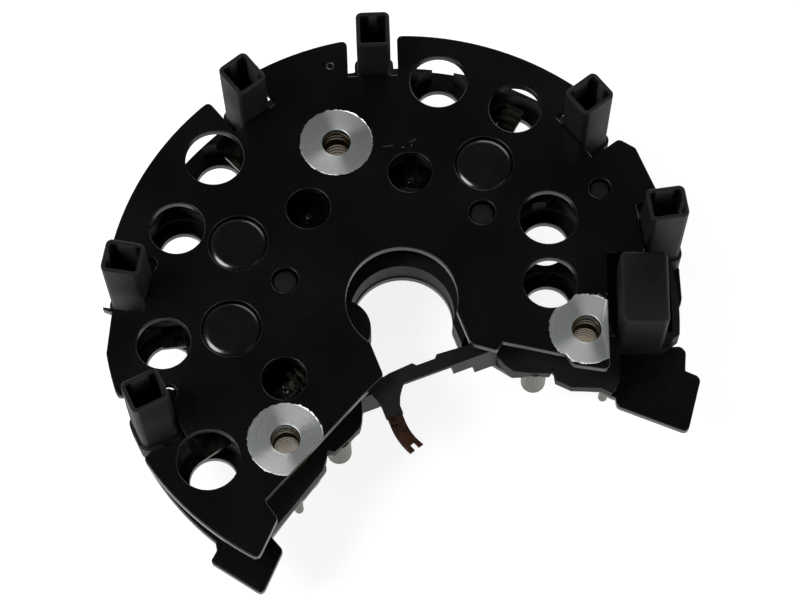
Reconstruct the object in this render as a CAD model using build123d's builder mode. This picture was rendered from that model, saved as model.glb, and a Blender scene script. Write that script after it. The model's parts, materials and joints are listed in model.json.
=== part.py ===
# Alternator rectifier of the two-fin kind, seen and bolted from its frame side.
# The origin is on the rotor axis, level with the bare pads that meet the alternator's frame.
# The towers point up along +Z and the open mouth of the fins points along -Y.
import os
from math import cos, sin, radians

from build123d import *

os.makedirs("parts", exist_ok=True)

# Heights of the stack, from the bolted faces downwards
fin_thickness = 2.0
fin_gap = 12.5
web_height = 5.5
web_floor = 2.2
web_wall = 1.6
cover_thickness = 2.5
tower_height = 13.5
block_height = 4.0
upper_bottom = -fin_thickness
lower_top = upper_bottom - fin_gap
lower_bottom = lower_top - fin_thickness
web_top = lower_top + web_height

# Plan sizes of the two fins and of the moulding between them
upper_radius = 64.0
end_step = 0.8
upper_end_radius = upper_radius + end_step
upper_bore = 12.05
lower_radius = 62.8
lower_end_radius = lower_radius + end_step
lower_bore = 11.1
web_radius = 60.4
web_bore = 11.4
mouth_far = 80.0

# Fits between the pieces
press_gap = 0.03
slip_gap = 0.1
wide_gap = 0.6
air_gap = 2.6

# Bolted pads: a spot-faced ring of bare metal round each bolt hole, with its sleeve and bush below
pad_circle = 40.0
pad_angles = (90.0, -31.2, 211.4)
pad_radius = 7.9
pad_depth = 0.12
bolt_hole = 3.1
sleeve_radius = 4.9
sleeve_bore = 2.85
sleeve_proud = 1.2
bush_wall = 1.1
bush_flange = 1.5
bush_flange_height = 0.8

# Towers for the stator leads: angle, twist and the notch's spare room on either side
tower_circle = 58.6
tower_width = 7.4
tower_depth = 8.4
tower_corner = 1.3
tower_edge = 0.3
tower_collar = 0.7
tower_wall = 0.9
tower_inner = tower_circle - tower_depth / 2
notch_floor = 54.2
notch_length = upper_end_radius + tower_depth - notch_floor
towers = (
    (-5.0, -8.0, 3.2, 3.4),
    (25.0, -8.0, 3.4, 1.8),
    (75.0, -4.0, 1.3, 2.5),
    (105.0, 3.0, 1.5, 2.4),
    (155.0, -6.0, 2.0, 3.4),
    (185.0, 0.0, 2.4, 4.4),
)

# Block over the output bolt: a box turned to its own angle, and reached from the origin along that angle
block_angle = -21.5
block_inner = 46.6
block_outer = 56.9
block_low = -6.8
block_high = 9.7
block_corner = 1.4
block_edge = 0.9
block_skirt = 2.0
block_slot = 2.4
block_slot_low = -19.0
block_slot_high = 11.0
block_slot_length = upper_end_radius + tower_depth - block_inner + block_slot
output_circle = 52.0
output_angle = -20.0
output_thread = 3.0
output_shank = 3.3
output_reach = 19.0
output_chamfer = 0.8
output_head = 5.77
output_head_height = 4.0
output_head_turn = block_angle + 30

# Air holes through both fins, each with its circle, angle and radius in the upper fin
lower_hole = 5.15
air_holes = (
    (53.2, 119.6, 6.5),
    (53.0, 60.0, 6.35),
    (51.5, 140.0, 6.0),
    (52.0, 40.0, 5.8),
    (51.7, 170.2, 5.8),
    (54.2, 200.8, 6.6),
    (37.1, 9.9, 6.3),
    (32.1, -14.5, 5.8),
)

# Press-fit diodes: cup, neck and lead
diode_radius = 6.4
diode_depth = 6.8
diode_neck = 4.2
diode_neck_depth = 0.5
diode_recess = 0.25
diode_chamfer = 0.35
lead_radius = 0.65
lead_reach = 4.7
negative_places = ((36.9, 39.6), (37.8, 138.6), (37.0, 169.4))
positive_places = ((30.1, 65.4), (29.5, 112.5), (30.8, 195.0))
access_radius = 4.8

# Posts of the moulding that locate the upper fin: circle, angle and the fin's hole
post_places = (
    (25.5, 149.0, 2.9), (26.8, 28.2, 2.9), (55.0, 150.4, 1.7), (53.8, 182.4, 1.9), (50.5, 9.9, 2.4),
)
post_gap = 0.5
post_sink = 1.1

# Phase terminals: a flat band with arms to the leads, and lugs that end in a comb
terminal_thickness = 1.0
band_inner = 45.4
band_outer = 47.4
arm_width = 2.8
comb_pitch = 1.8
comb_bar = 0.8
comb_length = 4.2
comb_height = 3.6
comb_set_back = 6.2
lug_bar = 0.5
lug_bar_height = 1.6
band_lap = 0.5
tab_lap = 2.0
arm_entry = 1.3
arm_reach = tower_inner + tower_wall + arm_entry
# Each has its band's ends, its lead angles and its lugs: angle, reach, width and whether it ends in a comb
phases = (
    ("phase_terminal_1", -6.5, 66.9, (-5.0, 25.0), ((41.5, 55.4, 4.2, True),)),
    ("phase_terminal_2", 73.4, 140.4, (75.0, 105.0), ((112.5, 54.6, 5.2, False),)),
    ("phase_terminal_3", 153.4, 197.0, (155.0, 186.0),
     ((165.2, 52.2, 5.0, False), (194.6, 55.1, 5.6, False))),
)

# Threaded inserts and small pins for the regulator, mirrored about the mouth
insert_circle = 30.9
insert_spread = 47.4
insert_radius = 2.7
insert_bore = 1.65
insert_depth = 6.75
insert_reach = 4.0
insert_skin = 1.5
pin_circle = 46.5
pin_spread = 49.6
pin_radius = 1.0
pin_reach = 3.5
pin_chamfer = 0.3

# Bridge below the bore, with the forked strip that reaches the regulator
bridge_top = -5.0
bridge_thickness = 1.2
bridge_back = -13.2
bridge_front = -16.4
bridge_half = 15.6
bridge_foot = 10.6
hook_length = 5.0
hook_width = 2.0
hook_height = 4.4
bridge_wave = 0.4
strip_left = -12.0
strip_width = 3.35
strip_thickness = 0.6
strip_skin = (bridge_thickness - strip_thickness) / 2
strip_root = -14.2
strip_bend = -24.6
strip_tip = -31.6
strip_rise = 1.0
strip_drift = 1.7
tongue_end = -22.6
tongue_side = 0.2
fork_slot = 1.0
fork_depth = 1.5
fork_turn = 22


def polar(radius, angle):
    return (radius * cos(radians(angle)), radius * sin(radians(angle)))


def level(height):
    return Plane.XY.offset(height)


def mirrored(points):
    return [(-x, y) for x, y in points]


# Where a circle's copies lie on either side of the mouth
def beside_mouth(circle, spread):
    return [(circle, -90 - spread), (circle, -90 + spread)]


# Adds or cuts round spots of one radius in the sketch in hand
def spots(radius, places, mode=Mode.SUBTRACT):
    for circle, angle in places:
        with Locations(polar(circle, angle)):
            Circle(radius, mode=mode)


def outline(points, mode=Mode.ADD):
    Polygon(*points, align=None, mode=mode)


# A rectangle that starts on a circle and runs outwards, turned about its start
def finger(start, angle, length, width, twist=0.0, shift=0.0, mode=Mode.ADD):
    with Locations(Location((*polar(start, angle), 0), (0, 0, angle + twist))):
        with Locations((0, shift)):
            Rectangle(length, width, align=(Align.MIN, Align.CENTER), mode=mode)


# The towers' plan at a given margin outside or inside their walls
def tower_plan(grow=0.0, mode=Mode.ADD):
    for angle, twist, before, after in towers:
        with Locations(Location((*polar(tower_circle, angle), 0), (0, 0, angle + twist))):
            RectangleRounded(tower_depth + 2 * grow, tower_width + 2 * grow, tower_corner + grow, mode=mode)


def block_outline(grow=0.0):
    length = block_outer - block_inner + 2 * grow
    width = block_high - block_low + 2 * grow
    finger(block_inner - grow, block_angle, length, width, shift=(block_high + block_low) / 2)


def finish(builder, name):
    builder.part.label = name
    export_step(builder.part, f"parts/{name}.step")
    print(name, len(builder.part.solids()), round(builder.part.volume, 1))


pad_places = [(pad_circle, angle) for angle in pad_angles]
air_places = [(circle, angle) for circle, angle, radius in air_holes]

# Upper fin, pressed from sheet: it carries the negative diodes
upper_mouth_left = [
    (-9.9, 0), (-9.9, -15.0), (-16.0, -17.8), (-42.6, -31.9), (-41.5, -36.5), (-48.4, -43.4),
    (-54.0, -mouth_far),
]
upper_mouth_right = [
    (9.9, 0), (9.9, -14.9), (14.8, -18.6), (16.4, -17.0), (27.8, -24.5), (28.4, -27.2), (36.0, -31.6),
    (mouth_far, -33.0), (mouth_far, -mouth_far),
]
upper_left_flat = [(-59.0, 19.4), (-63.8, 9.4), (-70, 9.4), (-70, 30)]
upper_right_flat = [(57.0, 20.0), (60.9, 14.9), (61.3, -6), (75, -6), (75, 30)]
end_from = 190.0
end_to = 228.0

with BuildPart() as negative_fin:
    with BuildSketch(level(upper_bottom)):
        Circle(upper_radius)
        with BuildLine():
            CenterArc((0, 0), upper_end_radius, end_from, end_to - end_from)
            Polyline(polar(upper_end_radius, end_to), (0, 0), polar(upper_end_radius, end_from))
        make_face()
        Circle(upper_bore, mode=Mode.SUBTRACT)
        outline(upper_mouth_left + upper_mouth_right[::-1], Mode.SUBTRACT)
        outline(upper_left_flat, Mode.SUBTRACT)
        outline(upper_right_flat, Mode.SUBTRACT)
        for angle, twist, before, after in towers:
            room = tower_width + before + after
            finger(notch_floor, angle, notch_length, room, twist, (after - before) / 2, Mode.SUBTRACT)
        finger(block_inner - block_slot, block_angle, block_slot_length, block_slot_high - block_slot_low,
               shift=(block_slot_high + block_slot_low) / 2, mode=Mode.SUBTRACT)
        for circle, angle, radius in air_holes + post_places:
            spots(radius, [(circle, angle)])
        spots(diode_radius + press_gap, negative_places)
        spots(access_radius, positive_places)
        spots(bolt_hole, pad_places)
    extrude(amount=fin_thickness)
    with BuildSketch(level(-pad_depth)):
        spots(pad_radius, pad_places, Mode.ADD)
    extrude(amount=pad_depth, mode=Mode.SUBTRACT)
finish(negative_fin, "negative_fin")

# Lower fin, the positive one: a little smaller, with a tab at each end of the mouth
lower_mouth_left = [
    (-9.5, 0), (-9.5, -12.6), (-14.5, -15.0), (-18.0, -20.0), (-24.0, -21.6), (-26.8, -22.2), (-27.2, -25.5),
    (-33.6, -29.6), (-36.4, -30.9), (-43.3, -35.4), (-42.0, -39.0), (-49.4, -46.6), (-60.0, -mouth_far),
]
lower_mouth_right = [
    (9.5, 0), (9.5, -12.6), (14.5, -15.2), (18.0, -20.0), (24.0, -21.6), (26.8, -22.2), (27.3, -25.5),
    (30.1, -27.9), (34.5, -29.9), (36.0, -32.0), (36.9, -32.9), (36.4, -34.7), (48.4, -45.9),
    (60.0, -mouth_far),
]
left_tab = [
    (-50.0, -28.0), (-54.9, -32.4), (-55.2, -34.0), (-57.0, -35.6), (-57.0, -36.3), (-49.4, -46.6),
    (-42.0, -39.0),
]
right_tab = [
    (50.7, -25.6), (55.0, -27.0), (55.5, -28.6), (53.6, -32.6), (55.6, -34.6), (55.8, -35.8), (48.4, -45.9),
    (36.4, -34.7),
]
lower_notch = [
    (61.9, -10.5), (59.8, -16.6), (58.9, -18.0), (56.6, -19.2), (53.6, -22.5), (50.7, -25.6), (55.0, -27.0),
    (55.5, -28.6), (53.6, -32.6), (54.4, -33.4), (75.0, -46.0), (75.0, -10.5),
]
lower_end_from = 190.0
lower_end_to = 210.6
slot_place = (46.2, -26.7)
slot_length = 4.4
slot_width = 1.8

with BuildPart() as positive_fin:
    with BuildSketch(level(lower_bottom)):
        Circle(lower_radius)
        with BuildLine():
            CenterArc((0, 0), lower_end_radius, lower_end_from, lower_end_to - lower_end_from)
            Polyline(polar(lower_end_radius, lower_end_to), (0, 0), polar(lower_end_radius, lower_end_from))
        make_face()
        outline(lower_notch, Mode.SUBTRACT)
        outline(left_tab)
        outline(right_tab)
        outline(lower_mouth_left + lower_mouth_right[::-1], Mode.SUBTRACT)
        Circle(lower_bore, mode=Mode.SUBTRACT)
        spots(lower_hole, air_places)
        spots(diode_radius + press_gap, positive_places)
        spots(sleeve_radius + bush_wall + 2 * slip_gap, pad_places)
        spots(output_shank + press_gap, [(output_circle, output_angle)])
        spots(insert_radius + wide_gap, beside_mouth(insert_circle, insert_spread))
        spots(pin_radius + slip_gap, beside_mouth(pin_circle, pin_spread))
        with Locations(Location((*polar(*slot_place), 0), (0, 0, 90))):
            SlotOverall(slot_length, slot_width, mode=Mode.SUBTRACT)
    extrude(amount=fin_thickness)
finish(positive_fin, "positive_fin")

# Moulded terminal block: a walled tray on the lower fin, with covers beside the mouth, towers, output block,
# posts and bridge
web_mouth = [
    (9.6, -3.0), (9.6, -12.4), (10.6, -14.6), (15.2, -15.2), (16.4, -17.6), (17.6, -20.4), (19.8, -21.3),
    (25.6, -22.9), (26.8, -22.7), (27.3, -25.8), (33.4, -29.7), (36.2, -31.2), (42.6, -35.0), (47.0, -37.8),
    (mouth_far, -56.0), (mouth_far, -mouth_far),
]
bore_lobe = (-14.0, 1.8)
bore_lobe_radius = 7.0
rib_angles = (-26, 3, 20, 50, 80, 100, 130, 160, 178, 206)
bare_tab = [
    (40.9, -23.6), (38.2, -29.0), (36.4, -34.5), (36.0, -45.0), (75.0, -60.0), (75.0, -20.0), (50.4, -27.3),
]
cover_front = [(15.2, -15.2), (16.4, -19.0), (17.6, -21.0), (20.5, -22.6), (24.7, -24.3), (26.0, -23.3)]
cover_back = [(38.0, -20.0), (28.0, -16.0), (20.0, -12.0)]
left_cover = cover_front + [
    (26.9, -25.0), (28.5, -27.2), (34.1, -30.6), (36.7, -32.2), (42.6, -35.6), (44.0, -30.0),
]
right_cover = cover_front + [
    (25.3, -26.2), (27.9, -29.0), (33.7, -31.4), (35.4, -33.3), (38.2, -31.0), (42.0, -22.0),
]
covers = (mirrored(left_cover + cover_back), right_cover + cover_back)


def web_outline():
    Circle(web_radius)
    block_outline(block_skirt)
    Circle(web_bore, mode=Mode.SUBTRACT)
    with Locations(bore_lobe):
        Circle(bore_lobe_radius)
    outline(web_mouth + mirrored(web_mouth)[::-1], Mode.SUBTRACT)
    outline(bare_tab, Mode.SUBTRACT)


def web_cuts():
    spots(lower_hole + air_gap, air_places)
    spots(sleeve_radius + slip_gap, pad_places)
    spots(diode_radius + 4 * slip_gap, positive_places)
    spots(lead_radius + wide_gap, negative_places)
    with Locations(Location((*polar(*slot_place), 0), (0, 0, 90))):
        SlotOverall(slot_length, slot_width, mode=Mode.SUBTRACT)


with BuildPart() as terminal_block:
    with BuildSketch(level(lower_top)):
        web_outline()
        web_cuts()
    extrude(amount=web_floor)
    with BuildSketch(level(lower_top)):
        Circle(web_radius)
        Circle(web_radius - web_wall, mode=Mode.SUBTRACT)
        Circle(band_outer + web_wall / 2)
        Circle(band_inner - web_wall / 2, mode=Mode.SUBTRACT)
        Circle(web_bore + 2 * web_wall)
        for angle in rib_angles:
            finger(web_bore, angle, web_radius - web_bore - web_wall / 2, web_wall)
        spots(diode_radius + web_wall, positive_places, Mode.ADD)
        with BuildSketch(level(lower_top), mode=Mode.INTERSECT):
            web_outline()
            web_cuts()
    extrude(amount=web_height)
    for cover in covers:
        with BuildSketch(level(lower_top)):
            outline(cover)
            with BuildSketch(level(lower_top), mode=Mode.INTERSECT):
                web_outline()
        extrude(amount=web_height)
        with BuildSketch(level(web_top - cover_thickness)):
            outline(cover)
        extrude(amount=cover_thickness)
    with BuildSketch(level(lower_top)):
        spots(sleeve_radius + slip_gap, pad_places, Mode.ADD)
    extrude(amount=web_height, mode=Mode.SUBTRACT)
    with BuildSketch(level(lower_top)):
        spots(insert_radius + press_gap, beside_mouth(insert_circle, insert_spread), Mode.ADD)
        spots(pin_radius + press_gap, beside_mouth(pin_circle, pin_spread), Mode.ADD)
    extrude(amount=web_height - insert_skin + press_gap, mode=Mode.SUBTRACT)
    with BuildSketch(level(lower_top)):
        tower_plan(tower_collar)
    extrude(amount=web_height)
    with BuildSketch(level(lower_top)):
        tower_plan()
    extrude(amount=tower_height - lower_top)
    with BuildSketch(level(web_top)):
        tower_plan(-tower_wall)
    extrude(amount=tower_height - web_top, mode=Mode.SUBTRACT)
    with BuildSketch(level(web_top)):
        for name, start, stop, lead_angles, lugs in phases:
            for lead_angle in lead_angles:
                finger(tower_inner - arm_entry, lead_angle, tower_wall + 2 * arm_entry,
                       arm_width + 2 * slip_gap)
    extrude(amount=terminal_thickness + slip_gap, mode=Mode.SUBTRACT)
    chamfer(edges().group_by(Axis.Z)[-1], tower_edge)
    with BuildSketch(level(lower_top)):
        block_outline()
        fillet(vertices(), block_corner)
    extrude(amount=block_height - lower_top)
    fillet(edges().filter_by_position(Axis.Z, block_height - slip_gap, block_height + slip_gap), block_edge)
    with BuildSketch(level(lower_top)):
        with Locations(polar(output_circle, output_angle)):
            RegularPolygon(output_head + slip_gap, 6, rotation=output_head_turn)
    extrude(amount=output_head_height + slip_gap, mode=Mode.SUBTRACT)
    for circle, angle, radius in post_places:
        with BuildSketch(level(lower_top)):
            spots(radius - post_gap, [(circle, angle)], Mode.ADD)
        extrude(amount=-post_sink - lower_top)
    with BuildSketch(level(bridge_top - bridge_thickness)):
        outline([
            (-bridge_half, bridge_front), (-bridge_half, bridge_back - 4 * bridge_wave), (-8.0, bridge_back),
            (-2.6, bridge_back + bridge_wave), (-1.9, bridge_back - bridge_wave),
            (2.3, bridge_back - bridge_wave), (3.0, bridge_back + bridge_wave),
            (bridge_half, bridge_back - bridge_wave), (bridge_half, bridge_front),
        ])
        outline([
            (-13.2, bridge_front + bridge_wave), (-12.6, -17.4), (strip_left - tongue_side, -19.2),
            (strip_left - tongue_side, tongue_end), (strip_left + strip_width + tongue_side, tongue_end),
            (strip_left + strip_width + tongue_side, -20.8), (-7.6, -18.7), (-6.6, -17.2),
            (-5.6, bridge_front + bridge_wave),
        ])
    extrude(amount=bridge_thickness)
    foot_middle = (bridge_front + bridge_back) / 2 - bridge_wave
    with BuildSketch(level(lower_top)):
        for side in (-1, 1):
            with Locations((side * (bridge_foot + bridge_half) / 2, foot_middle)):
                Rectangle(bridge_half - bridge_foot, bridge_back - bridge_front - 2 * bridge_wave)
    extrude(amount=bridge_top - lower_top)
    with BuildSketch(level(bridge_top - bridge_thickness - hook_height)):
        with Locations((bridge_foot, bridge_front + hook_width / 2)):
            Rectangle(hook_length, hook_width, align=(Align.MAX, Align.CENTER))
    extrude(amount=hook_height)
    with BuildSketch(level(bridge_top - strip_skin - strip_thickness - press_gap)):
        with Locations((strip_left + strip_width / 2, strip_root + press_gap)):
            Rectangle(strip_width + 2 * press_gap, strip_root - strip_bend, align=(Align.CENTER, Align.MAX))
    extrude(amount=strip_thickness + 2 * press_gap, mode=Mode.SUBTRACT)
finish(terminal_block, "terminal_block")

# Diodes: a cup pressed flush into its fin, a glass-sealed neck and a round lead
def diode(name, circle, angle, face, away):
    cup = face + away * diode_recess
    rim = cup + away * diode_chamfer
    shoulder = face + away * diode_depth
    seal = shoulder + away * diode_neck_depth
    end = seal + away * lead_reach
    x, y = polar(circle, angle)
    profile = Plane(origin=(x, y, 0), x_dir=(1, 0, 0), z_dir=(0, -1, 0))
    with BuildPart() as piece:
        with BuildSketch(profile):
            Polygon((0, cup), (diode_radius - diode_chamfer, cup), (diode_radius, rim),
                    (diode_radius, shoulder),
                    (diode_neck, shoulder), (diode_neck - diode_chamfer, seal), (lead_radius, seal),
                    (lead_radius, end), (0, end), align=None)
        revolve(axis=Axis((x, y, 0), (0, 0, 1)))
    finish(piece, name)


for number, (circle, angle) in enumerate(negative_places, 1):
    diode(f"negative_diode_{number}", circle, angle, 0, -1)
for number, (circle, angle) in enumerate(positive_places, 1):
    diode(f"positive_diode_{number}", circle, angle, lower_bottom, 1)

# Phase terminals: each joins two stator leads, one negative diode and one positive diode
bar_steps = [comb_pitch * step for step in range(3)]
for number, (name, start, stop, lead_angles, lugs) in enumerate(phases):
    inner_angle = positive_places[number][1]
    inner_end = positive_places[number][0] - comb_set_back
    arm_start = band_inner + band_lap
    tab_end = band_inner + band_lap
    with BuildPart() as terminal:
        with BuildSketch(level(web_top)):
            Circle(band_outer)
            Circle(band_inner, mode=Mode.SUBTRACT)
            with BuildSketch(level(web_top), mode=Mode.INTERSECT):
                Polygon((0, 0), polar(mouth_far, start), polar(mouth_far, (2 * start + stop) / 3),
                        polar(mouth_far, (start + 2 * stop) / 3), polar(mouth_far, stop), align=None)
            for lead_angle in lead_angles:
                finger(arm_start, lead_angle, arm_reach - arm_start, arm_width)
            for lug_angle, lug_reach, lug_width, has_comb in lugs:
                finger(arm_start, lug_angle, lug_reach - arm_start, lug_width)
            near, near_angle = negative_places[number]
            finger(near - tab_lap, near_angle, tab_end - near + tab_lap, arm_width)
            finger(inner_end, inner_angle, tab_end - inner_end, arm_width)
            finger(inner_end, inner_angle, 2 * comb_pitch + comb_bar, comb_length)
            spots(lead_radius + press_gap, [negative_places[number], positive_places[number]])
        extrude(amount=terminal_thickness)
        with BuildSketch(level(web_top + terminal_thickness)):
            for step in bar_steps:
                finger(inner_end + step, inner_angle, comb_bar, comb_length)
        extrude(amount=comb_height)
        for lug_angle, lug_reach, lug_width, has_comb in lugs:
            if has_comb:
                with BuildSketch(level(web_top + terminal_thickness)):
                    for step in bar_steps:
                        finger(lug_reach - lug_bar - step, lug_angle, lug_bar, lug_width)
                extrude(amount=lug_bar_height)
    finish(terminal, name)

# Sleeves that carry the bolt load from fin to fin, and the bushes that keep them off the lower fin
for number, place in enumerate(pad_places, 1):
    with BuildPart() as sleeve:
        with BuildSketch(level(lower_bottom - sleeve_proud)):
            with Locations(polar(*place)):
                Circle(sleeve_radius)
                Circle(sleeve_bore, mode=Mode.SUBTRACT)
        extrude(amount=upper_bottom - lower_bottom + sleeve_proud)
    finish(sleeve, f"mounting_sleeve_{number}")
    bush_inner = sleeve_radius + slip_gap
    bush_outer = bush_inner + bush_wall
    with BuildPart() as bush:
        with BuildSketch(level(lower_bottom)):
            with Locations(polar(*place)):
                Circle(bush_outer)
                Circle(bush_inner, mode=Mode.SUBTRACT)
        extrude(amount=fin_thickness)
        with BuildSketch(level(lower_bottom - bush_flange_height)):
            with Locations(polar(*place)):
                Circle(bush_outer + bush_flange)
                Circle(bush_inner, mode=Mode.SUBTRACT)
        extrude(amount=bush_flange_height)
    finish(bush, f"insulating_bush_{number}")

# Output bolt, pressed into the lower fin with its head under the block
with BuildPart() as output_bolt:
    with BuildSketch(level(lower_top)):
        with Locations(polar(output_circle, output_angle)):
            RegularPolygon(output_head, 6, rotation=output_head_turn)
    extrude(amount=output_head_height)
    with BuildSketch(level(lower_bottom)):
        with Locations(polar(output_circle, output_angle)):
            Circle(output_shank)
    extrude(amount=fin_thickness)
    with BuildSketch(level(lower_bottom - output_reach)):
        with Locations(polar(output_circle, output_angle)):
            Circle(output_thread)
    extrude(amount=output_reach)
    chamfer(edges().group_by(Axis.Z)[0], output_chamfer)
finish(output_bolt, "output_bolt")

# Inserts and pins for the regulator, moulded into the block
for number, place in enumerate(beside_mouth(insert_circle, insert_spread), 1):
    with BuildPart() as insert:
        with BuildSketch(level(lower_bottom - insert_reach)):
            with Locations(polar(*place)):
                Circle(insert_radius)
        extrude(amount=web_top - insert_skin - lower_bottom + insert_reach)
        with BuildSketch(level(lower_bottom - insert_reach)):
            with Locations(polar(*place)):
                Circle(insert_bore)
        extrude(amount=insert_depth, mode=Mode.SUBTRACT)
    finish(insert, f"regulator_insert_{number}")
for number, place in enumerate(beside_mouth(pin_circle, pin_spread), 1):
    with BuildPart() as pin:
        with BuildSketch(level(lower_bottom - pin_reach)):
            with Locations(polar(*place)):
                Circle(pin_radius)
        extrude(amount=web_top - insert_skin - lower_bottom + pin_reach)
        chamfer(edges().group_by(Axis.Z)[0], pin_chamfer)
    finish(pin, f"locating_pin_{number}")

# Forked copper strip that leaves the bridge and meets the regulator
strip_right = strip_left + strip_width
with BuildPart() as regulator_terminal:
    with BuildSketch(level(bridge_top - strip_skin - strip_thickness)):
        with BuildLine():
            Polyline((strip_left, strip_bend), (strip_left, strip_root), (strip_right, strip_root),
                     (strip_right, strip_bend))
            left_end = (strip_left + strip_drift, strip_tip)
            right_end = (strip_right + strip_drift, strip_tip + strip_rise)
            TangentArc((strip_right, strip_bend), right_end, tangent=(0, -1))
            Line(right_end, left_end)
            TangentArc((strip_left, strip_bend), left_end, tangent=(0, -1))
        make_face()
        fork_middle = ((left_end[0] + right_end[0]) / 2, (left_end[1] + right_end[1]) / 2)
        with Locations(Location((*fork_middle, 0), (0, 0, fork_turn))):
            Rectangle(fork_slot, 2 * fork_depth, mode=Mode.SUBTRACT)
    extrude(amount=strip_thickness)
finish(regulator_terminal, "regulator_terminal")
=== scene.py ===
import json
from math import cos, pi, radians, sin

import bpy
import numpy as np
from mathutils.geometry import delaunay_2d_cdt
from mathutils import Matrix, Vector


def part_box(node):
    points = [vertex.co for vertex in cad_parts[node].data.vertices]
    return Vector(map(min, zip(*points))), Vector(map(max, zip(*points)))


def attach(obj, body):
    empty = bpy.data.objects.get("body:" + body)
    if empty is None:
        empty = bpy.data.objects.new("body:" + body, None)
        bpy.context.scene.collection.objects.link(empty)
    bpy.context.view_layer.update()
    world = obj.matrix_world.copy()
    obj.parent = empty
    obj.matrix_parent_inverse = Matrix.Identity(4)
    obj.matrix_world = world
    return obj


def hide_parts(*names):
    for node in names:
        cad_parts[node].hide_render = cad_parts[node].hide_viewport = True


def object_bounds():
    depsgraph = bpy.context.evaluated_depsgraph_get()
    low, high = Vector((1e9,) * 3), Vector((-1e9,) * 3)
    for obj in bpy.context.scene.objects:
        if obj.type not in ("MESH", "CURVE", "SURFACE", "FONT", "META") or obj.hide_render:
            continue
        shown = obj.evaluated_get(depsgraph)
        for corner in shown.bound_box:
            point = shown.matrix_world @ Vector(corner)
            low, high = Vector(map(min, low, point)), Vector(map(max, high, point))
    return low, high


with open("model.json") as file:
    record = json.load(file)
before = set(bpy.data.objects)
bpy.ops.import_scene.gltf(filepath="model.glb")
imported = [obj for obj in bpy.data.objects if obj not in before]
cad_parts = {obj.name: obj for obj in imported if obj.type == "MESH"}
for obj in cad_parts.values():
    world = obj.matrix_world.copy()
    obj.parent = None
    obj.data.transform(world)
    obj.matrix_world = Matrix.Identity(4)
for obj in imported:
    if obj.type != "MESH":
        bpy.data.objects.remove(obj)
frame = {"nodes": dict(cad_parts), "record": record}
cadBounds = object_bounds()
nodes = frame["nodes"]
mm = 0.001
padNames = [f"mounting_sleeve_{number}" for number in (1, 2, 3)]


def middle(node):
    low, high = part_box(node)
    return (low + high) / 2


# Low corner, high corner and middle of a node's box, in mm
def boxInMm(node):
    low, high = (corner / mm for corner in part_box(node))
    return low, high, (low + high) / 2


# Material building blocks. A number or a tuple is set on a socket, and anything else is linked to it

def feed(tree, socket, value):
    if isinstance(value, (int, float, tuple)):
        socket.default_value = value
    else:
        tree.links.new(value, socket)


def freshMaterial(name):
    material = bpy.data.materials.new(name)
    material.use_nodes = True
    tree = material.node_tree
    return material, tree, tree.nodes["Principled BSDF"].inputs


def add(tree, kind, **settings):
    node = tree.nodes.new(kind)
    for key, value in settings.items():
        setattr(node, key, value)
    return node


def math(tree, operation, first, second=None, third=None, clamp=False):
    node = add(tree, "ShaderNodeMath", operation=operation, use_clamp=clamp)
    for socket, value in zip(node.inputs, (first, second, third)):
        if value is not None:
            feed(tree, socket, value)
    return node.outputs[0]


def vector(tree, operation, first, second, output="Vector"):
    node = add(tree, "ShaderNodeVectorMath", operation=operation)
    feed(tree, node.inputs[0], first)
    feed(tree, node.inputs[1], second)
    return node.outputs[output]


def split(tree, value):
    node = add(tree, "ShaderNodeSeparateXYZ")
    feed(tree, node.inputs[0], value)
    return node.outputs


# A smooth step: the given range of the value comes out as the wanted range
def ramp(tree, value, given, wanted):
    node = add(tree, "ShaderNodeMapRange", interpolation_type="SMOOTHSTEP")
    feed(tree, node.inputs["Value"], value)
    for label, number in zip(("From Min", "From Max", "To Min", "To Max"), given + wanted):
        node.inputs[label].default_value = number
    return node.outputs["Result"]


def noise(tree, place, scale, detail, rough=0.5):
    node = add(tree, "ShaderNodeTexNoise")
    for label, value in (("Vector", place), ("Scale", scale), ("Detail", detail), ("Roughness", rough)):
        feed(tree, node.inputs[label], value)
    return node.outputs["Fac"]


def mixValue(tree, factor, first, second):
    node = add(tree, "ShaderNodeMix", data_type="FLOAT")
    for index, value in ((0, factor), (2, first), (3, second)):
        feed(tree, node.inputs[index], value)
    return node.outputs[0]


def mixColour(tree, factor, first, second):
    node = add(tree, "ShaderNodeMix", data_type="RGBA")
    feed(tree, node.inputs[0], factor)
    for index, value in ((6, first), (7, second)):
        feed(tree, node.inputs[index], (*value, 1) if isinstance(value, tuple) else value)
    return node.outputs[2]


def bump(tree, height, distance, strength, normal=None):
    node = add(tree, "ShaderNodeBump")
    for label, value in (("Height", height), ("Distance", distance), ("Strength", strength)):
        feed(tree, node.inputs[label], value)
    if normal is not None:
        feed(tree, node.inputs["Normal"], normal)
    return node.outputs["Normal"]


def objectPlace(tree):
    return add(tree, "ShaderNodeTexCoord").outputs["Object"]


# How far up a face looks: 1 for a level top, 0 for an upright wall
def upwardness(tree):
    return split(tree, add(tree, "ShaderNodeNewGeometry").outputs["Normal"])["Z"]


# A node group. Each input's default says whether it is a vector or a value, and each output is a value
def newGroup(name, outputs, **inputs):
    group = bpy.data.node_groups.new(name, "ShaderNodeTree")
    for label, value in inputs.items():
        kind = "NodeSocketVector" if isinstance(value, tuple) else "NodeSocketFloat"
        group.interface.new_socket(label, in_out="INPUT", socket_type=kind).default_value = value
    for label in outputs:
        group.interface.new_socket(label, in_out="OUTPUT", socket_type="NodeSocketFloat")
    return group, add(group, "NodeGroupInput").outputs, add(group, "NodeGroupOutput").inputs


def useGroup(tree, group, **values):
    node = add(tree, "ShaderNodeGroup", node_tree=group)
    for label, value in values.items():
        feed(tree, node.inputs[label], value)
    return node.outputs


zero = (0.0, 0.0, 0.0)
wholeRange = (0.0, 1.0)
midTones = (0.3, 0.7)  # where most of the mottle's tones lie
pointLine = 1e-5  # a stroke this short, in metres, stands for a point


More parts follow.
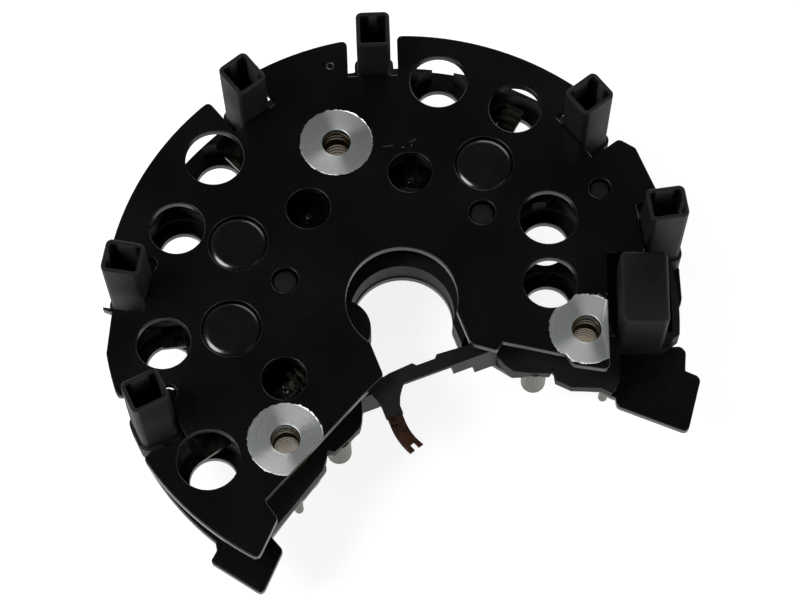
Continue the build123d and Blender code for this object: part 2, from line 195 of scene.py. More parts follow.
# Mottle: large soft patches and fine grain of one finish. Tone is a weighted sum of both round 0.5, and Height is
# the grain
def buildMottle():
    look = dict(patchShare=0.65, patchDetail=3.0, grainShare=0.35, grainDetail=2.0)
    group, source, target = newGroup("mottle", ("Tone", "Height"), Place=zero, Patch=60.0, Grain=1500.0)
    patches = noise(group, source["Place"], source["Patch"], look["patchDetail"])
    grain = noise(group, source["Place"], source["Grain"], look["grainDetail"])
    weighted = math(group, "MULTIPLY", patches, look["patchShare"])
    feed(group, target["Tone"], math(group, "MULTIPLY_ADD", grain, look["grainShare"], weighted))
    feed(group, target["Height"], grain)
    return group


# Spot face: a bare turned disc about Centre. Bare is 1 inside a border that a noise sends in and out, Rings is a
# noise of the distance from the centre alone, and the sheen output is the sine of twice the angle round it: a
# painted highlight, two fans of reflection laid into the colour
def buildSpotFace():
    look = dict(wander=900.0, wanderDetail=5.0, wanderRough=0.65, wanderReach=4.0, border=0.00006,
                ringScale=5200.0, ringDetail=3.0, paintedFans=2.0, paintedFanTurn=-0.14)
    group, source, target = newGroup("spotFace", ("Bare", "Rings", "PaintedSheen"), Place=zero, Centre=zero,
                                     Radius=0.0079, Ragged=0.0005)
    x, y, _ = split(group, vector(group, "SUBTRACT", source["Place"], source["Centre"]))
    radius = math(group, "SQRT", math(group, "ADD", math(group, "MULTIPLY", x, x), math(group, "MULTIPLY", y, y)))
    wander = noise(group, source["Place"], look["wander"], look["wanderDetail"], look["wanderRough"])
    ragged = math(group, "MULTIPLY", source["Ragged"], look["wanderReach"])
    edge = math(group, "MULTIPLY_ADD", math(group, "SUBTRACT", wander, 0.5), ragged, source["Radius"])
    inside = math(group, "SUBTRACT", edge, radius)
    feed(group, target["Bare"], ramp(group, inside, (0.0, look["border"]), wholeRange))
    turned = add(group, "ShaderNodeTexNoise", noise_dimensions="1D")
    for label, value in (("W", radius), ("Scale", look["ringScale"]), ("Detail", look["ringDetail"])):
        feed(group, turned.inputs[label], value)
    feed(group, target["Rings"], turned.outputs["Fac"])
    # Painted highlight: the angle sets where the two bright fans of reflection fall on each pad
    angle = math(group, "MULTIPLY_ADD", math(group, "ARCTAN2", y, x), look["paintedFans"], look["paintedFanTurn"])
    feed(group, target["PaintedSheen"], math(group, "SINE", angle))
    return group


# Stroke mark: a dent along the line from Start to End, or along a circle of Radius about it, seen from above.
# Depth is 1 less the distance from that line or circle over Width, and never below 0
def buildStrokeMark():
    group, source, target = newGroup("strokeMark", ("Depth",), Place=zero, Start=zero, End=zero,
                                     Width=0.0002, Radius=0.0)
    flat = vector(group, "MULTIPLY", source["Place"], (1, 1, 0))
    reach = vector(group, "SUBTRACT", flat, source["Start"])
    line = vector(group, "SUBTRACT", source["End"], source["Start"])
    along = vector(group, "DOT_PRODUCT", reach, line, "Value")
    share = math(group, "DIVIDE", along, vector(group, "DOT_PRODUCT", line, line, "Value"), clamp=True)
    nearest = add(group, "ShaderNodeVectorMath", operation="SCALE")
    feed(group, nearest.inputs[0], line)
    feed(group, nearest.inputs["Scale"], share)
    away = vector(group, "DISTANCE", reach, nearest.outputs[0], "Value")
    off = math(group, "ABSOLUTE", math(group, "SUBTRACT", away, source["Radius"]))
    widths = math(group, "DIVIDE", off, source["Width"])
    feed(group, target["Depth"], math(group, "SUBTRACT", 1.0, widths, clamp=True))
    return group


mottle = buildMottle()
spotFace = buildSpotFace()
strokeMark = buildStrokeMark()
print("groups ready")


# Fins: satin black coating over sheet aluminium, cut back to bare turned metal at the three pads, and dented by
# short stake nicks and one small ring. The pads' colour also carries a painted highlight: two near-white fans of
# reflection on each
def finishFins():
    look = dict(
        coat=(0.0020, 0.0025, 0.0023), coatRough=(0.20, 0.30), specular=0.34,
        dust=(0.0060, 0.0072, 0.0066), dustTones=(0.5, 0.75), dustShare=(0.0, 0.4),
        patch=45.0, grain=1600.0, grainDepth=0.008 * mm, grainStrength=0.4,
        bare=(0.44, 0.46, 0.45), bareDark=(0.32, 0.34, 0.33), bareRough=(0.40, 0.52), levelFrom=(0.6, 0.9),
        # the fan colour is the near-white of the painted highlight fans on the pads
        paintedFanHighlight=(0.86, 0.88, 0.87), paintedFanRange=(-0.2, 1.0), toolRange=(0.35, 0.65),
        padRadius=8.05 * mm, ragged=0.28 * mm, toolDepth=0.03 * mm, toolStrength=0.7,
        worn=(0.050, 0.053, 0.050), wornTones=(0.35, 0.6), wornShare=(0.3, 1.0),
        dentDepth=0.10 * mm, nickWidth=0.16 * mm, ringPlace=(5.39, 58.28), ringRadius=0.78 * mm,
        nicks=(
            (9.41, 35.20, 11.14, 34.79), (13.10, 33.62, 13.42, 33.50), (15.14, 33.23, 15.30, 33.30),
            (15.26, 34.16, 16.52, 34.35), (45.53, -8.57, 46.43, -8.82), (42.50, -12.40, 42.78, -12.52),
            (39.60, -14.20, 40.50, -15.60), (41.29, -14.81, 41.97, -14.85), (42.74, -15.50, 43.12, -15.69),
        ),
    )
    material, tree, surface = freshMaterial("finBlack")
    place = objectPlace(tree)
    tone = useGroup(tree, mottle, Place=place, Patch=look["patch"], Grain=look["grain"])
    facing = ramp(tree, upwardness(tree), look["levelFrom"], wholeRange)

    bare = rings = paintedSheen = 0.0
    for node in padNames:
        centre = middle(node)
        spot = useGroup(tree, spotFace, Place=place, Centre=(centre.x, centre.y, 0.0),
                        Radius=look["padRadius"], Ragged=look["ragged"])
        bare = math(tree, "MAXIMUM", spot["Bare"], bare)
        rings = math(tree, "ADD", math(tree, "MULTIPLY", spot["Rings"], spot["Bare"]), rings)
        paintedSheen = math(tree, "ADD", math(tree, "MULTIPLY", spot["PaintedSheen"], spot["Bare"]), paintedSheen)
    bare = math(tree, "MULTIPLY", bare, facing)
    metal = mixColour(tree, ramp(tree, rings, look["toolRange"], wholeRange), look["bareDark"], look["bare"])
    # Painted highlight: in two fans round each pad the bare metal's colour goes near white, standing in for
    # reflection
    metal = mixColour(tree, ramp(tree, paintedSheen, look["paintedFanRange"], wholeRange), metal, look["paintedFanHighlight"])

    marks = 0.0
    for startX, startY, endX, endY in look["nicks"]:
        nick = useGroup(tree, strokeMark, Place=place, Start=(startX * mm, startY * mm, 0.0),
                        End=(endX * mm, endY * mm, 0.0), Width=look["nickWidth"])
        marks = math(tree, "MAXIMUM", nick["Depth"], marks)
    x, y = (value * mm for value in look["ringPlace"])
    ring = useGroup(tree, strokeMark, Place=place, Start=(x, y, 0.0), End=(x + pointLine, y, 0.0),
                    Width=look["nickWidth"], Radius=look["ringRadius"])
    marks = math(tree, "MULTIPLY", math(tree, "MAXIMUM", ring["Depth"], marks), facing)

    dusty = ramp(tree, tone["Tone"], look["dustTones"], look["dustShare"])
    coat = mixColour(tree, dusty, look["coat"], look["dust"])
    wear = math(tree, "MULTIPLY", marks, ramp(tree, tone["Tone"], look["wornTones"], look["wornShare"]))
    coat = mixColour(tree, wear, coat, look["worn"])
    coatRough, bareRough = (ramp(tree, tone["Tone"], midTones, look[key]) for key in ("coatRough", "bareRough"))
    grained = bump(tree, tone["Height"], look["grainDepth"], look["grainStrength"])
    dented = bump(tree, math(tree, "SUBTRACT", 1.0, marks), look["dentDepth"], 1.0, grained)
    turned = bump(tree, rings, look["toolDepth"], look["toolStrength"], dented)
    feed(tree, surface["Base Color"], mixColour(tree, bare, coat, metal))
    feed(tree, surface["Metallic"], bare)
    feed(tree, surface["Roughness"], mixValue(tree, bare, coatRough, bareRough))
    feed(tree, surface["Normal"], turned)
    feed(tree, surface["Specular IOR Level"], look["specular"])
    return material


# Moulding: black glass-filled plastic, duller than the fins, with a faint grain. Its upright walls inside the
# stated lead sockets get a far paler colour, painted light that lifts the shade deep in the sockets
def finishMoulding(name):
    look = dict(body=(0.0038, 0.0040, 0.0035), rough=(0.50, 0.64), specular=0.25,
                pale=(0.0105, 0.0110, 0.0098), paleTones=(0.45, 0.75), paleShare=(0.0, 0.6),
                # the socket colour is the painted light on the sockets' inner walls
                patch=70.0, grain=2600.0, grainDepth=0.03 * mm, grainStrength=0.6, socket=(0.055, 0.056, 0.050),
                socketReach=3.45 * mm, socketEdge=(0.0, 0.02), uprightFrom=(0.5, 0.3))
    material, tree, surface = freshMaterial(name)
    place = objectPlace(tree)
    tone = useGroup(tree, mottle, Place=place, Patch=look["patch"], Grain=look["grain"])
    faded = ramp(tree, tone["Tone"], look["paleTones"], look["paleShare"])
    body = mixColour(tree, faded, look["body"], look["pale"])
    inside = 0.0
    for opening in frame["record"]["physics"]["openings"]:
        if opening["name"].startswith("lead_socket"):
            x, y, _ = np.mean(opening["box_m"], axis=0)
            socket = useGroup(tree, strokeMark, Place=place, Start=(x, y, 0.0), End=(x + pointLine, y, 0.0),
                              Width=look["socketReach"])
            inside = math(tree, "MAXIMUM", socket["Depth"], inside)
    # Painted light: upright walls within reach of a socket's middle take the pale socket colour, lifting the shade
    # inside
    upright = ramp(tree, upwardness(tree), look["uprightFrom"], wholeRange)
    paintedSocketLight = math(tree, "MULTIPLY", ramp(tree, inside, look["socketEdge"], wholeRange), upright)
    feed(tree, surface["Base Color"], mixColour(tree, paintedSocketLight, body, look["socket"]))
    feed(tree, surface["Roughness"], ramp(tree, tone["Tone"], midTones, look["rough"]))
    feed(tree, surface["Normal"], bump(tree, tone["Height"], look["grainDepth"], look["grainStrength"]))
    feed(tree, surface["Specular IOR Level"], look["specular"])
    return material


# Plain finishes: a colour between two tones, and a roughness that rises with the mottle
def finishPlain(name, dark, light, rough, metallic=1.0, specular=0.5):
    look = dict(blendTones=(0.35, 0.65), patch=120.0, grain=900.0, grainDepth=0.02 * mm, grainStrength=0.5)
    material, tree, surface = freshMaterial(name)
    tone = useGroup(tree, mottle, Place=objectPlace(tree), Patch=look["patch"], Grain=look["grain"])
    blend = ramp(tree, tone["Tone"], look["blendTones"], wholeRange)
    feed(tree, surface["Base Color"], mixColour(tree, blend, dark, light))
    feed(tree, surface["Roughness"], ramp(tree, tone["Tone"], midTones, rough))
    feed(tree, surface["Normal"], bump(tree, tone["Height"], look["grainDepth"], look["grainStrength"]))
    feed(tree, surface["Metallic"], metallic)
    feed(tree, surface["Specular IOR Level"], specular)
    return material


# Each slot's finish; the plain ones give their dark tone, light tone and range of roughness
finishes = {
    "fin_black": finishFins(),
    "moulding_black": finishMoulding("mouldingBlack"),
    "bush_plastic": finishMoulding("bushPlastic"),
    "diode_cup": finishPlain("diodeCup", (0.0024, 0.0028, 0.0026), (0.0038, 0.0043, 0.0040), (0.16, 0.21),
                             metallic=0.0, specular=0.85),
    "terminal_metal": finishPlain("terminalMetal", (0.030, 0.028, 0.022), (0.075, 0.069, 0.058), (0.2, 0.36)),
    "sleeve_metal": finishPlain("sleeveMetal", (0.085, 0.064, 0.033), (0.150, 0.117, 0.063), (0.22, 0.4)),
    "bolt_steel": finishPlain("boltSteel", (0.42, 0.41, 0.38), (0.55, 0.54, 0.50), (0.25, 0.45)),
    "insert_metal": finishPlain("insertMetal", (0.105, 0.100, 0.083), (0.150, 0.145, 0.124), (0.35, 0.55)),
    "strip_copper": finishPlain("stripCopper", (0.022, 0.012, 0.009), (0.075, 0.038, 0.026), (0.3, 0.5)),
}
print("materials ready")


# Closed outlines of a node's flat face at one height, in mm, run with the metal on their left. An outline has the
# edges that only one flat triangle has. Each is named by its lowest point and walked by jumps that double in length
def flatOutlines(node, height):
    micron, sameHeight, doublings = 1e-6, 0.002, 12  # in metres, in mm, and 2^12 points are past any outline
    mesh = nodes[node].data
    points = np.empty(len(mesh.vertices) * 3, np.float32)
    mesh.vertices.foreach_get("co", points)
    mesh.calc_loop_triangles()
    corners = np.empty(len(mesh.loop_triangles) * 3, np.int32)
    mesh.loop_triangles.foreach_get("vertices", corners)
    keys, index = np.unique(np.round(points.reshape(-1, 3) / micron).astype(int), axis=0, return_inverse=True)
    triangles = index.reshape(-1)[corners].reshape(-1, 3)
    places = keys * 1e-3  # whole microns to mm
    flat = triangles[(np.abs(places[triangles][:, :, 2] - height) < sameHeight).all(axis=1)]
    start, end = flat.T.reshape(-1), np.roll(flat, -1, axis=1).T.reshape(-1)
    outer = ~np.isin(start * len(keys) + end, end * len(keys) + start)
    start, end = start[outer], end[outer]
    corner = places[flat]
    first, second = corner[:, 1] - corner[:, 0], corner[:, 2] - corner[:, 0]
    if (first[:, 0] * second[:, 1] - first[:, 1] * second[:, 0]).sum() < 0:
        start, end = end, start
    order = np.argsort(start)
    start, end = start[order], end[order]
    following = np.searchsorted(start, end)
    count = len(start)
    label, jump = np.arange(count), following.copy()
    for _ in range(doublings):
        label, jump = np.minimum(label, label[jump]), jump[jump]
    root = label == np.arange(count)
    steps = np.where(root, 0, 1)
    jump = np.where(root, np.arange(count), following)
    for _ in range(doublings):
        steps, jump = steps + steps[jump], jump[jump]
    length = np.bincount(label, minlength=count)[label]
    order = np.lexsort(((length - steps) % length, label))
    cuts = np.flatnonzero(np.diff(label[order])) + 1
    return [places[start[part]][:, :2] for part in np.split(order, cuts)]


# Each edge's direction, which is its step over its length, and that length
def unitSteps(outline):
    step = np.roll(outline, -1, axis=0) - outline
    length = np.hypot(step[:, 0], step[:, 1])
    return step / np.maximum(length, 1e-9)[:, None], length


# Each corner sharper than the limit becomes a short quadratic curve: (1-t)^2 of the point before the corner,
# 2t(1-t) of the corner and t^2 of the point after it
def roundOutline(outline, look):
    ahead, length = unitSteps(outline)
    behind, lengthBehind = np.roll(ahead, 1, axis=0), np.roll(length, 1)
    cross = behind[:, 0] * ahead[:, 1] - behind[:, 1] * ahead[:, 0]
    turn = np.arctan2(cross, (behind * ahead).sum(axis=1))
    radius = np.where(turn > 0, look["outerCorner"], look["innerCorner"])
    bent = np.abs(turn) > radians(look["sharpFrom"])
    roomAhead = length * np.where(np.roll(bent, -1), look["sharedEdge"], look["freeEdge"])
    roomBehind = lengthBehind * np.where(np.roll(bent, 1), look["sharedEdge"], look["freeEdge"])
    cut = np.minimum(radius * np.tan(np.abs(turn) / 2), np.minimum(roomAhead, roomBehind))
    count = np.where(bent, look["cornerSteps"], 1)
    owner = np.repeat(np.arange(len(outline)), count)
    step = np.arange(len(owner)) - np.repeat(np.cumsum(count) - count, count)
    t = np.where(bent[owner], step / (look["cornerSteps"] - 1), 0.5)[:, None]
    reach = np.where(bent, cut, 0.0)[owner][:, None]
    corner = outline[owner]
    before, after = corner - behind[owner] * reach, corner + ahead[owner] * reach
    return (1 - t) ** 2 * before + 2 * t * (1 - t) * corner + t ** 2 * after


# Each point's way into the metal, so long that both neighbouring edges move in by one unit: the sum of the two
# edges' normals over 1 plus their product, which is held at 0.5 or more where the outline nearly turns back
def inwardMitre(outline):
    ahead, _ = unitSteps(outline)
    normal = np.stack([-ahead[:, 1], ahead[:, 0]], axis=1)
    before = np.roll(normal, 1, axis=0)
    return (normal + before) / np.maximum(1 + (normal * before).sum(axis=1), 0.5)[:, None]


# Quads between neighbouring rows of a grid of points; the rows close on themselves
def gridFaces(rows, columns, first=0):
    row, column = np.meshgrid(np.arange(rows - 1), np.arange(columns), indexing="ij")
    here, beside = row * columns + column, row * columns + (column + 1) % columns
    return (np.stack([here, beside, beside + columns, here + columns], axis=-1) + first).reshape(-1, 4)


# Even-odd rule: a spot is in the metal where a ray to its right crosses the outlines an odd number of times
def inMetal(spots, outlines):
    start = np.vstack(outlines)
    end = np.vstack([np.roll(outline, -1, axis=0) for outline in outlines])
    x, y = spots[:, :1], spots[:, 1:]
    crossed = (start[:, 1] > y) != (end[:, 1] > y)
    rise = end[:, 1] - start[:, 1]
    at = start[:, 0] + (y - start[:, 1]) * (end[:, 0] - start[:, 0]) / np.where(rise == 0, 1, rise)
    return (crossed & (x < at)).sum(axis=1) % 2 == 1


# For each point of the stacked outlines, the number of the point after it on its own outline
def nextPoints(outlines):
    first = np.cumsum([0] + [len(outline) for outline in outlines])
    return np.concatenate([(np.arange(len(outline)) + 1) % len(outline) + start
                           for outline, start in zip(outlines, first)])


# How much of its inset each point keeps: halved at the ends of each rim edge that turns back or crosses another
# one, over and over until no edge does, nine times at most
def easeInset(outlines, reach):
    points, following = np.vstack(outlines), nextPoints(outlines)
    mitre = np.vstack([inwardMitre(outline) for outline in outlines])
    ease = np.ones(len(points))

    def cross(first, second):
        return first[..., 0] * second[..., 1] - first[..., 1] * second[..., 0]

    for _ in range(9):
        rim = points + mitre * (reach * ease)[:, None]
        step = rim[following] - rim
        here = cross(step[:, None], rim[None] - rim[:, None])
        there = cross(step[:, None], rim[following][None] - rim[:, None])
        apart = here * there < 0
        back = (step * (points[following] - points)).sum(axis=1) <= 0
        hit = (apart & apart.T).any(axis=1) | back
        if not hit.any():
            break
        drawn = np.zeros(len(points), bool)
        drawn[hit] = True
        drawn[following[hit]] = True
        ease[drawn] *= 0.5
    return np.split(ease, np.cumsum([len(outline) for outline in outlines])[:-1])


# Flat cap: Delaunay triangles that keep the outlines' edges and pass through the guides' points, less those whose
# middle isn't in the metal
def capPlate(outlines, guides=()):
    following = nextPoints(outlines)
    edges = np.stack([np.arange(len(following)), following], axis=1)
    wholeHull, nearness = 0, 1e-5  # which triangles to put out, and the distance in mm at which points are one
    spots = np.vstack(list(outlines) + list(guides))
    found = delaunay_2d_cdt(spots.tolist(), edges.tolist(), [], wholeHull, nearness)
    points, triangles = np.array([tuple(point) for point in found[0]]), np.array(found[2])
    return points, triangles[inMetal(points[triangles].mean(axis=1), outlines)]


# Joins the points of a piece that lie within the reach of each other
def weld(piece, reach):
    piece.modifiers.new("weld", "WELD").merge_threshold = reach


# Shades each corner mostly as the larger faces round it look, so flats stay flat beside a rounded edge
def shadeByFace(piece):
    shade = piece.modifiers.new("shade", "WEIGHTED_NORMAL")
    shade.keep_sharp = False
    shade.weight = 80


# A new piece from points in mm, held by the root body in place of the nodes that it stands for
def newPiece(name, points, faces, replaced, slotName):
    mesh = bpy.data.meshes.new(name)
    mesh.from_pydata((points * mm).tolist(), [], faces)
    mesh.polygons.foreach_set("use_smooth", np.ones(len(mesh.polygons), bool))
    mesh.materials.append(finishes[slotName])
    mesh.update()
    piece = bpy.data.objects.new(name, mesh)
    bpy.context.scene.collection.objects.link(piece)
    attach(piece, "root")
    for node in replaced:
        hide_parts(node)
    weld(piece, 0.0005 * mm)
    shadeByFace(piece)


# Pressed plate: the CAD outline with rounded corners, and an edge that turns over on a small radius. The angle runs
# a quarter turn on each edge, inset = radius (1 - sin) and height = bottom or top with radius (1 - cos) taken off
def buildPlate(name, node, traced, low, high, pads=()):
    look = dict(outerCorner=1.4, innerCorner=0.35, sharpFrom=15.0, cornerSteps=8, sharedEdge=0.45, freeEdge=0.95,
                edge=0.27, edgeSteps=5, padRadius=7.95, padLip=0.3, padDepth=0.12, padColumns=120,
                topBand=0.5, lipRings=(-0.5, -0.25, 0.0, 0.25, 0.5))
    outlines = [roundOutline(outline, look) for outline in flatOutlines(node, traced)]
    quarter = np.linspace(0, pi / 2, look["edgeSteps"])
    rise, fall = look["edge"] * (1 - np.cos(quarter)), look["edge"] * (1 - np.sin(quarter))
    inset = np.concatenate([fall, rise])
    height = np.concatenate([low + rise, high - fall])

    # The top falls by the pad's depth inside each pad, on a smooth step t^2 (3 - 2t) across its lip
    def settle(points):
        for pad in pads:
            away = np.hypot(points[:, 0] - pad[0], points[:, 1] - pad[1])
            t = np.clip((look["padRadius"] + look["padLip"] / 2 - away) / look["padLip"], 0, 1)
            onTop = points[:, 2] > high - look["topBand"]
            points[:, 2] -= np.where(onTop, look["padDepth"] * t * t * (3 - 2 * t), 0)
        return points

    blocks, faces, rims, total = [], [], [], 0
    for outline, ease in zip(outlines, easeInset(outlines, look["edge"])):
        mitre = inwardMitre(outline)
        wall = outline[None] + (mitre * ease[:, None])[None] * inset[:, None, None]
        grid = np.concatenate([wall, np.broadcast_to(height[:, None, None], wall.shape[:2] + (1,))], axis=2)
        blocks.append(grid.reshape(-1, 3))
        faces += gridFaces(len(inset), len(outline), total).tolist()
        rims.append(outline + mitre * (look["edge"] * ease)[:, None])
        total += len(blocks[-1])
    turn = np.linspace(0, 2 * pi, look["padColumns"], endpoint=False)
    circle = np.stack([np.cos(turn), np.sin(turn)], axis=1)
    guides = [np.array(pad) + circle * (look["padRadius"] + look["padLip"] * share)
              for pad in pads for share in look["lipRings"]]
    for level, extra, flip in ((high, guides, 1), (low, (), -1)):
        spots, triangles = capPlate(rims, extra)
        blocks.append(np.column_stack([spots, np.full(len(spots), level)]))
        faces += (triangles[:, ::flip] + total).tolist()
        total += len(spots)
    newPiece(name, settle(np.vstack(blocks)), faces, [node], "fin_black")


# Rings of points about a centre: x and y are the centre plus the radius times cos and sin of the turn, and each
# row has its own radii and height. The rows are joined by quads, and the two ends are closed if wanted
def ringMesh(centre, radius, height, turn, closeEnds=True):
    rows, columns = len(radius), len(turn)
    grid = np.stack([centre[0] + radius * np.cos(turn), centre[1] + radius * np.sin(turn),
                     np.broadcast_to(height, (rows, columns))], axis=-1).reshape(-1, 3)
    faces = gridFaces(rows, columns).tolist()
    if closeEnds:
        last = (rows - 1) * columns
        faces += [list(range(columns))[::-1], list(range(last, last + columns))]
    return grid, faces


# Turned piece: a profile of (radius, height) carried round the axis, bottom to top outside and top to bottom inside
def buildTurned(name, centre, profile, replaced, slotName, columns=96, closeEnds=True):
    profile = np.array(profile)
    turn = np.linspace(0, 2 * pi, columns, endpoint=False)
    grid, faces = ringMesh(centre, profile[:, :1], profile[:, 1:], turn, closeEnds)
    newPiece(name, grid, faces, replaced, slotName)


# Part of a circle in a profile: its middle plus the radius times cos and sin of the angles from start to end, which
# are in degrees
def arc(middleRadius, middleHeight, radius, start, end, steps):
    turn = np.radians(np.linspace(start, end, steps))
    return np.stack([middleRadius + radius * np.cos(turn), middleHeight + radius * np.sin(turn)], axis=1).tolist()


padPlaces = [tuple((middle(node) / mm)[:2]) for node in padNames]
upperLow, upperHigh = (corner.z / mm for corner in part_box("negative_fin"))
lowerLow, lowerHigh = (corner.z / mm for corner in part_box("positive_fin"))
buildPlate("upperPlate", "negative_fin", upperLow, upperLow, upperHigh, padPlaces)
buildPlate("lowerPlate", "positive_fin", lowerHigh, lowerLow, lowerHigh)
print("plates built")


# Diodes: a pressed cup whose top falls away on a wide soft shoulder, its glass-sealed neck and its lead. The
# negative ones hang and the others stand
def buildDiodes():
    look = dict(depth=6.55, shoulder=1.7, slope=40.0, shoulderSteps=10, rim=0.12, foot=0.2, neck=4.2, neckEdge=0.35,
                neckHeight=0.5, lead=0.65, leadEnd=0.2, edgeSteps=4)
    depth, foot, neck, lead, end = (look[key] for key in ("depth", "foot", "neck", "lead", "leadEnd"))
    for kind, away in (("negative", -1), ("positive", 1)):
        for number in (1, 2, 3):
            node = f"{kind}_diode_{number}"
            low, high, centre = boxInMm(node)
            radius = (high.x - low.x) / 2
            face, tip = (high.z, low.z) if away < 0 else (low.z, high.z)
            bend = look["shoulder"] / sin(radians(look["slope"]))
            profile = arc(radius - look["shoulder"], bend, bend, 270, 270 + look["slope"], look["shoulderSteps"])
            profile += [[radius, profile[-1][1] + look["rim"]]]
            profile += arc(radius - foot, depth - foot, foot, 0, 90, look["edgeSteps"])
            neckTop = depth + look["neckHeight"]
            profile += [[neck, depth], [neck - look["neckEdge"], neckTop], [lead, neckTop]]
            profile += arc(lead - end, abs(tip - face) - end, end, 0, 90, look["edgeSteps"])
            profile = [[across, face + away * up] for across, up in profile][::away]
            buildTurned(f"{kind}Cup{number}", centre, profile, [node], "diode_cup")


# Sleeves: a turned tube whose mouth is opened out, with a small step to the screw's bore and fine tool rings in
# both
def buildSleeves():
    look = dict(edge=0.25, edgeSteps=4, bore=2.85, mouth=3.06, mouthEdge=0.1, mouthDepth=4.2, step=0.35,
                ring=0.07, ringHalf=0.16, mouthRings=(1.3, 2.7), boreRings=(5.8, 7.2, 8.6, 10.0))
    edge, mouth, bore = look["edge"], look["mouth"], look["bore"]

    # A shallow groove of three points at each drop below the top
    def grooves(radius, top, drops):
        return [[radius + deep, top - drop + up] for drop in drops
                for deep, up in ((0.0, look["ringHalf"]), (look["ring"], 0.0), (0.0, -look["ringHalf"]))]

    for number, node in enumerate(padNames, 1):
        low, high, centre = boxInMm(node)
        radius = (high.x - low.x) / 2
        foot = high.z - look["mouthDepth"]
        profile = [[bore + edge, low.z]]
        profile += arc(radius - edge, low.z + edge, edge, 270, 360, look["edgeSteps"])
        profile += arc(radius - edge, high.z - edge, edge, 0, 90, look["edgeSteps"])
        profile += [[mouth + look["mouthEdge"], high.z], [mouth, high.z - look["mouthEdge"]]]
        profile += grooves(mouth, high.z, look["mouthRings"])
        profile += [[mouth, foot], [bore, foot - look["step"]]]
        profile += grooves(bore, high.z, look["boreRings"])
        profile += [[bore, low.z + edge], [bore + edge, low.z]]
        buildTurned(f"sleeve{number}", centre, profile, [node], "sleeve_metal", closeEnds=False)


# Output bolt: a hexagon head whose corners are turned off, a shank and a cut thread. The thread's radius is the
# crest less the depth times a triangle wave of (height / pitch + angle / turn), clipped flat at crest and root.
# The head's radius is its apothem over the cosine of the angle from the nearest face's middle
def buildOutputBolt():
    look = dict(head=5.77, headHeight=4.0, turned=0.55, crownRise=0.6, crownFace=0.9, faceTurn=8.5,
                shank=3.3, shankRise=0.15, thread=3.0, threadTop=-17.6, depth=0.58, pitch=1.0,
                crestFlat=0.12, flank=0.72, runOutGap=0.6, runOut=0.8, chamfer=0.8, endGap=0.001,
                columns=96, rowsPerPitch=12)
    low, high, centre = boxInMm("output_bolt")
    turn = np.linspace(0, 2 * pi, look["columns"], endpoint=False)
    threadTop, top, under = look["threadTop"], high.z, high.z - look["headHeight"]
    rows = np.linspace(low.z + look["endGap"], threadTop, int((threadTop - low.z) * look["rowsPerPitch"]))
    wave = np.abs(((rows[:, None] / look["pitch"] + turn[None] / (2 * pi)) % 1) * 2 - 1)
    cut = look["depth"] * np.clip((wave - look["crestFlat"]) / look["flank"], 0, 1)
    runOut = np.clip((threadTop - look["runOutGap"] - rows) / look["runOut"], 0, 1)[:, None]
    tip = np.clip(rows - low.z, 0, look["chamfer"])[:, None] - look["chamfer"]
    thread = np.minimum(look["thread"] - cut * runOut, look["thread"] + tip)

    apothem = look["head"] * cos(pi / 6)
    hexagon = apothem / np.cos((turn - radians(look["faceTurn"]) + pi / 6) % (pi / 3) - pi / 6)
    drop = look["turned"] * look["crownRise"]
    crown = np.minimum(hexagon, apothem + drop)
    ring = np.ones_like(turn)
    shank = ring * look["shank"]
    solid = [ring * look["thread"], shank, shank, hexagon, hexagon, crown, ring * apothem * look["crownFace"]]
    level = [threadTop, threadTop + look["shankRise"], under, under, top - drop, top, top]
    height = np.concatenate([rows, level])[:, None]
    grid, faces = ringMesh(centre, np.vstack([thread, solid]), height, turn)
    newPiece("outputBolt", grid, faces, ["output_bolt"], "bolt_steel")


buildDiodes()
buildSleeves()
buildOutputBolt()
print("turned pieces built")


# The other solids keep their own shape: their triangles are joined and their edges get a small true radius
def roundEdges(piece):
    look = dict(joinWithin=0.002 * mm, width=0.1 * mm, segments=2, sharpFrom=34.0)
    weld(piece, look["joinWithin"])
    edge = piece.modifiers.new("edge", "BEVEL")
    edge.width = look["width"]
    edge.segments = look["segments"]
    edge.limit_method = "ANGLE"
    edge.angle_limit = radians(look["sharpFrom"])
    edge.miter_outer = "MITER_ARC"
    shadeByFace(piece)


rebuilt = ("fin", "diode", "sleeve", "bolt")
for part in frame["record"]["subparts"]:
    piece = nodes[part["node"]]
    piece.data.materials.clear()
    piece.data.materials.append(finishes[part["material_slot"]])
    if not any(word in part["node"] for word in rebuilt):
        roundEdges(piece)
print("solids dressed")


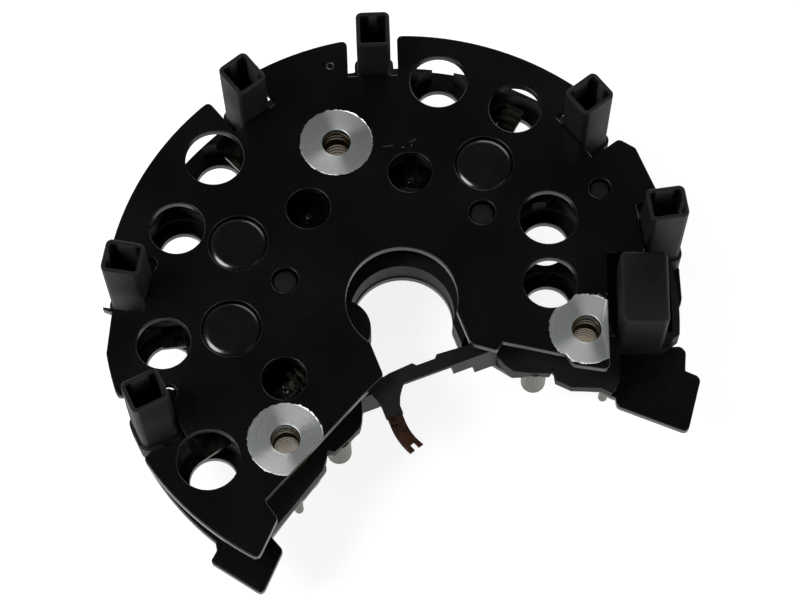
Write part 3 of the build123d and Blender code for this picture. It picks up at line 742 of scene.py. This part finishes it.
# Studio: a pale floor under the part, light that is bright round the horizon and dim overhead, three round lamps
# and the camera
def buildStudio():
    look = dict(
        floorDrop=0.3 * mm, floorSize=3.0, floorColour=(0.55, 0.55, 0.55), floorRough=0.9, floorGlow=0.76,
        horizon=1.0, overhead=0.035, fade=(0.16, 0.64), sky=1.0,
        lamps=(  # name, place in metres, size in metres and power in watts
            ("keyLamp", (-0.60, 0.06, 0.86), 0.52, 5.5),
            ("fillLamp", (0.6, -0.9, 0.45), 1.3, 5.0),
            ("rimLamp", (0.7, 0.8, 0.35), 1.0, 5.0),
        ),
        camera=(-67.94 * mm, -181.58 * mm, 466.07 * mm), lens=106.09, sensor=36.0, nearest=0.01,
        right=(0.93282, -0.36032, -0.00522), forward=(0.13367, 0.35944, -0.92354),
    )
    white = (1, 1, 1, 1)
    scene = bpy.context.scene

    lowest = cadBounds[0][2] - look["floorDrop"]
    half = look["floorSize"] / 2
    mesh = bpy.data.meshes.new("floor")
    corners = [(-half, -half, lowest), (half, -half, lowest), (half, half, lowest), (-half, half, lowest)]
    mesh.from_pydata(corners, [], [(0, 1, 2, 3)])
    floor = bpy.data.objects.new("floor", mesh)
    scene.collection.objects.link(floor)
    material, tree, surface = freshMaterial("floorPale")
    rays = add(tree, "ShaderNodeLightPath").outputs
    seen = math(tree, "MAXIMUM", rays["Is Camera Ray"], rays["Is Glossy Ray"])
    seen = math(tree, "MAXIMUM", seen, rays["Is Transmission Ray"])
    feed(tree, surface["Base Color"], (*look["floorColour"], 1))
    feed(tree, surface["Roughness"], look["floorRough"])
    feed(tree, surface["Specular IOR Level"], 0.0)
    feed(tree, surface["Emission Color"], white)
    feed(tree, surface["Emission Strength"], math(tree, "MULTIPLY", seen, look["floorGlow"]))
    mesh.materials.append(material)

    scene.world = bpy.data.worlds.new("studio")
    scene.world.use_nodes = True
    tree = scene.world.node_tree
    background = tree.nodes["Background"].inputs
    height = split(tree, add(tree, "ShaderNodeTexCoord").outputs["Generated"])["Z"]
    glow = ramp(tree, height, look["fade"], (look["horizon"], look["overhead"]))
    seen = add(tree, "ShaderNodeLightPath").outputs["Is Camera Ray"]
    feed(tree, background["Strength"], mixValue(tree, seen, glow, look["sky"]))
    feed(tree, background["Color"], white)

    for name, place, size, power in look["lamps"]:
        data = bpy.data.lights.new(name, "AREA")
        data.shape = "DISK"
        data.size = size
        data.energy = power
        lamp = bpy.data.objects.new(name, data)
        lamp.location = place
        lamp.rotation_euler = (-lamp.location).to_track_quat("-Z", "Y").to_euler()
        scene.collection.objects.link(lamp)

    data = bpy.data.cameras.new("camera")
    data.lens = look["lens"]
    data.sensor_width = look["sensor"]
    data.clip_start = look["nearest"]
    camera = bpy.data.objects.new("camera", data)
    right, forward = np.array(look["right"]), np.array(look["forward"])
    turned = np.eye(4)
    turned[:3, :3] = np.array([right, np.cross(right, forward), -forward]).T
    turned[:3, 3] = look["camera"]
    camera.matrix_world = turned.T.tolist()
    scene.collection.objects.link(camera)
    scene.camera = camera
    scene.view_settings.view_transform = "Standard"


buildStudio()
print("studio ready")
